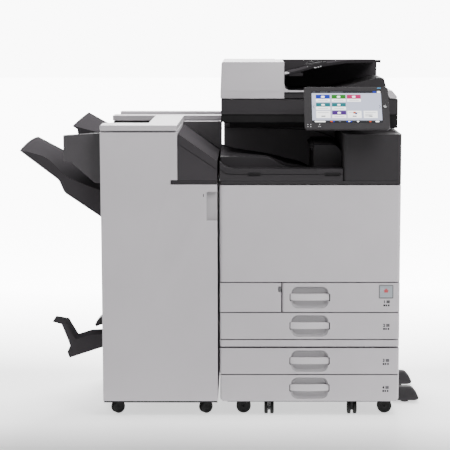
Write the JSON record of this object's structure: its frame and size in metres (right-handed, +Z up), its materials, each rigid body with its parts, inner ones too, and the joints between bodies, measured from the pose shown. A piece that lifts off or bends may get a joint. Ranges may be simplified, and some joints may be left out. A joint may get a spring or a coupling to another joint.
{
  "type": "photocopier",
  "caption": "Floor-standing office copier with paper drawers, scanner, document feeder, tilting touch panel and a side finisher with stacking trays.",
  "frame": {"origin": "middle of the footprint at floor level", "axes": "+X to the right seen from the front, +Y to the back, +Z up"},
  "size_m": [1.3286, 0.7326, 1.166],
  "materials": {
    "light_plastic": "fine moulded texture, light warm grey",
    "dark_plastic": "fine moulded texture, charcoal",
    "black_plastic": "smooth black",
    "caster_plastic": "black nylon",
    "caster_tread": "black tread",
    "frame_paint": "black painted steel",
    "tray_grey": "dark grey moulding",
    "platen_glass": "clear plate glass",
    "screen_glass": "glossy display cover",
    "toner_yellow": "smooth yellow",
    "toner_magenta": "smooth magenta",
    "toner_cyan": "smooth cyan",
    "toner_black": "smooth black"
  },
  "bodies": {
    "frame": {"bank_cabinet": "light_plastic", "main_chassis": "light_plastic", "rear_cover": "light_plastic", "finisher_cabinet": "light_plastic", "finisher_top_cover": "light_plastic", "inner_tray": "dark_plastic", "right_tower_cover": "dark_plastic", "scanner_housing": "dark_plastic", "bridge_cover": "dark_plastic", "exit_frame": "dark_plastic", "proof_tray": "dark_plastic", "booklet_tray": "dark_plastic", "front_stabiliser": "dark_plastic", "rear_stabiliser": "dark_plastic", "base_frame": "frame_paint", "finisher_base": "frame_paint", "waste_toner_bottle": "tray_grey", "platen_glass": "platen_glass", "toner_bottle_1": "toner_yellow", "toner_bottle_2": "toner_magenta", "toner_bottle_3": "toner_cyan", "toner_bottle_4": "toner_black"},
    "front_door": {"front_door": "light_plastic"},
    "waste_toner_cover": {"waste_toner_cover": "light_plastic"},
    "right_door": {"right_door": "light_plastic"},
    "bypass_tray": {"bypass_tray": "light_plastic"},
    "drawer_1": {"drawer_1_front": "light_plastic", "drawer_1_box": "tray_grey"},
    "drawer_2": {"drawer_2_front": "light_plastic", "drawer_2_box": "tray_grey"},
    "drawer_3": {"drawer_3_front": "light_plastic", "drawer_3_box": "tray_grey"},
    "drawer_4": {"drawer_4_front": "light_plastic", "drawer_4_box": "tray_grey"},
    "scan_carriage": {"scan_carriage": "black_plastic"},
    "feeder": {"feeder_base": "light_plastic"},
    "feed_cover": {"feed_cover": "light_plastic"},
    "document_tray": {"document_tray": "dark_plastic"},
    "front_paper_guide": {"front_paper_guide": "black_plastic"},
    "rear_paper_guide": {"rear_paper_guide": "black_plastic"},
    "panel": {"operation_panel": "dark_plastic", "touchscreen": "screen_glass"},
    "home_button": {"home_button": "black_plastic"},
    "finisher_door": {"finisher_door": "light_plastic"},
    "shift_tray": {"shift_tray": "dark_plastic"},
    "booklet_flap": {"booklet_flap": "dark_plastic"},
    "front_left_caster_swivel": {"front_left_caster_swivel": "caster_plastic"},
    "front_left_caster_wheels": {"front_left_caster_wheels": "caster_tread"},
    "front_right_caster_swivel": {"front_right_caster_swivel": "caster_plastic"},
    "front_right_caster_wheels": {"front_right_caster_wheels": "caster_tread"},
    "finisher_front_left_caster_swivel": {"finisher_front_left_caster_swivel": "caster_plastic"},
    "finisher_front_left_caster_wheels": {"finisher_front_left_caster_wheels": "caster_tread"},
    "finisher_front_right_caster_swivel": {"finisher_front_right_caster_swivel": "caster_plastic"},
    "finisher_front_right_caster_wheels": {"finisher_front_right_caster_wheels": "caster_tread"},
    "front_inner_left_caster_wheels": {"front_inner_left_caster_wheels": "caster_tread"},
    "front_inner_right_caster_wheels": {"front_inner_right_caster_wheels": "caster_tread"},
    "rear_left_caster_wheels": {"rear_left_caster_wheels": "caster_tread"},
    "rear_right_caster_wheels": {"rear_right_caster_wheels": "caster_tread"},
    "finisher_rear_left_caster_wheels": {"finisher_rear_left_caster_wheels": "caster_tread"},
    "finisher_rear_right_caster_wheels": {"finisher_rear_right_caster_wheels": "caster_tread"}
  },
  "joints": [
    {"name": "front_door_hinge", "type": "hinge", "parent": "frame", "child": "front_door", "pos_m": [0.28525, -0.2722, 0.456], "axis": [1, 0, 0], "range_deg": [0, 85]},
    {"name": "waste_toner_cover_hinge", "type": "hinge", "parent": "frame", "child": "waste_toner_cover", "pos_m": [-0.00425, -0.2697, 0.3994], "axis": [0, 0, -1], "range_deg": [0, 90]},
    {"name": "right_door_hinge", "type": "hinge", "parent": "frame", "child": "right_door", "pos_m": [0.57835, 0.2449, 0.525], "axis": [0, 0, 1], "range_deg": [0, 80]},
    {"name": "bypass_tray_hinge", "type": "hinge", "parent": "right_door", "child": "bypass_tray", "pos_m": [0.57775, 0.0163, 0.522], "axis": [0, 1, 0], "range_deg": [0, 70]},
    {"name": "drawer_1_slide", "type": "slide", "parent": "frame", "child": "drawer_1", "axis": [0, -1, 0], "range_m": [0, 0.42]},
    {"name": "drawer_2_slide", "type": "slide", "parent": "frame", "child": "drawer_2", "axis": [0, -1, 0], "range_m": [0, 0.42]},
    {"name": "drawer_3_slide", "type": "slide", "parent": "frame", "child": "drawer_3", "axis": [0, -1, 0], "range_m": [0, 0.42]},
    {"name": "drawer_4_slide", "type": "slide", "parent": "frame", "child": "drawer_4", "axis": [0, -1, 0], "range_m": [0, 0.42]},
    {"name": "scan_carriage_slide", "type": "slide", "parent": "frame", "child": "scan_carriage", "axis": [1, 0, 0], "range_m": [0, 0.44]},
    {"name": "feeder_hinge", "type": "hinge", "parent": "frame", "child": "feeder", "pos_m": [0.28475, 0.2738, 1.0465], "axis": [-1, 0, 0], "range_deg": [0, 70]},
    {"name": "feed_cover_hinge", "type": "hinge", "parent": "feeder", "child": "feed_cover", "pos_m": [-0.00505, 0.0763, 1.066], "axis": [0, -1, 0], "range_deg": [0, 60]},
    {"name": "document_tray_hinge", "type": "hinge", "parent": "feeder", "child": "document_tray", "pos_m": [0.21375, 0.0413, 1.121], "axis": [0, -1, 0], "range_deg": [0, 25]},
    {"name": "front_guide_slide", "type": "slide", "parent": "document_tray", "child": "front_paper_guide", "axis": [0, 1, 0], "range_m": [0, 0.09]},
    {"name": "rear_guide_slide", "type": "slide", "parent": "document_tray", "child": "rear_paper_guide", "axis": [0, -1, 0], "range_m": [0, 0.09]},
    {"name": "panel_tilt", "type": "hinge", "parent": "frame", "child": "panel", "pos_m": [0.43175, -0.2807, 0.992], "axis": [1, 0, 0], "range_deg": [-25, 40]},
    {"name": "home_button_press", "type": "slide", "parent": "panel", "child": "home_button", "axis": [0, 0.7501, -0.6613], "range_m": [0, 0.001], "stiffness_N_per_m": 1500},
    {"name": "finisher_door_hinge", "type": "hinge", "parent": "frame", "child": "finisher_door", "pos_m": [-0.38825, -0.2697, 0.49], "axis": [0, 0, -1], "range_deg": [0, 90]},
    {"name": "shift_tray_lift", "type": "slide", "parent": "frame", "child": "shift_tray", "axis": [0, 0, -1], "range_m": [0, 0.25]},
    {"name": "booklet_flap_hinge", "type": "hinge", "parent": "frame", "child": "booklet_flap", "pos_m": [-0.39725, -0.0937, 0.308], "axis": [0, 1, 0], "range_deg": [0, 45]},
    {"name": "front_left_caster_swivel_turn", "type": "hinge", "parent": "frame", "child": "front_left_caster_swivel", "pos_m": [0.07875, -0.2077, 0.048], "axis": [0, 0, 1], "continuous": true},
    {"name": "front_left_caster_wheel_spin", "type": "hinge", "parent": "front_left_caster_swivel", "child": "front_left_caster_wheels", "pos_m": [0.06875, -0.2077, 0.024], "axis": [0, 1, 0], "continuous": true},
    {"name": "front_right_caster_swivel_turn", "type": "hinge", "parent": "frame", "child": "front_right_caster_swivel", "pos_m": [0.52675, -0.2077, 0.048], "axis": [0, 0, 1], "continuous": true},
    {"name": "front_right_caster_wheel_spin", "type": "hinge", "parent": "front_right_caster_swivel", "child": "front_right_caster_wheels", "pos_m": [0.53675, -0.2077, 0.024], "axis": [0, -1, 0], "continuous": true},
    {"name": "finisher_front_left_caster_swivel_turn", "type": "hinge", "parent": "frame", "child": "finisher_front_left_caster_swivel", "pos_m": [-0.34225, -0.2077, 0.043], "axis": [0, 0, 1], "continuous": true},
    {"name": "finisher_front_left_caster_wheel_spin", "type": "hinge", "parent": "finisher_front_left_caster_swivel", "child": "finisher_front_left_caster_wheels", "pos_m": [-0.3488, -0.21229, 0.0215], "axis": [-0.5736, 0.8192, 0], "continuous": true},
    {"name": "finisher_front_right_caster_swivel_turn", "type": "hinge", "parent": "frame", "child": "finisher_front_right_caster_swivel", "pos_m": [-0.05025, -0.2077, 0.043], "axis": [0, 0, 1], "continuous": true},
    {"name": "finisher_front_right_caster_wheel_spin", "type": "hinge", "parent": "finisher_front_right_caster_swivel", "child": "finisher_front_right_caster_wheels", "pos_m": [-0.0568, -0.21229, 0.0215], "axis": [-0.5736, 0.8192, 0], "continuous": true},
    {"name": "front_inner_left_caster_wheel_spin", "type": "hinge", "parent": "frame", "child": "front_inner_left_caster_wheels", "pos_m": [0.15325, -0.2237, 0.022], "axis": [1, 0, 0], "continuous": true},
    {"name": "front_inner_right_caster_wheel_spin", "type": "hinge", "parent": "frame", "child": "front_inner_right_caster_wheels", "pos_m": [0.42775, -0.2237, 0.022], "axis": [1, 0, 0], "continuous": true},
    {"name": "rear_left_caster_wheel_spin", "type": "hinge", "parent": "frame", "child": "rear_left_caster_wheels", "pos_m": [0.07175, 0.2263, 0.024], "axis": [1, 0, 0], "continuous": true},
    {"name": "rear_right_caster_wheel_spin", "type": "hinge", "parent": "frame", "child": "rear_right_caster_wheels", "pos_m": [0.49875, 0.2263, 0.024], "axis": [1, 0, 0], "continuous": true},
    {"name": "finisher_rear_left_caster_wheel_spin", "type": "hinge", "parent": "frame", "child": "finisher_rear_left_caster_wheels", "pos_m": [-0.34825, 0.2863, 0.0215], "axis": [1, 0, 0], "continuous": true},
    {"name": "finisher_rear_right_caster_wheel_spin", "type": "hinge", "parent": "frame", "child": "finisher_rear_right_caster_wheels", "pos_m": [-0.06025, 0.2863, 0.0215], "axis": [1, 0, 0], "continuous": true}
  ],
  "couplings": [
    {"joint": "rear_guide_slide", "follows": "front_guide_slide", "ratio": 1}
  ]
}
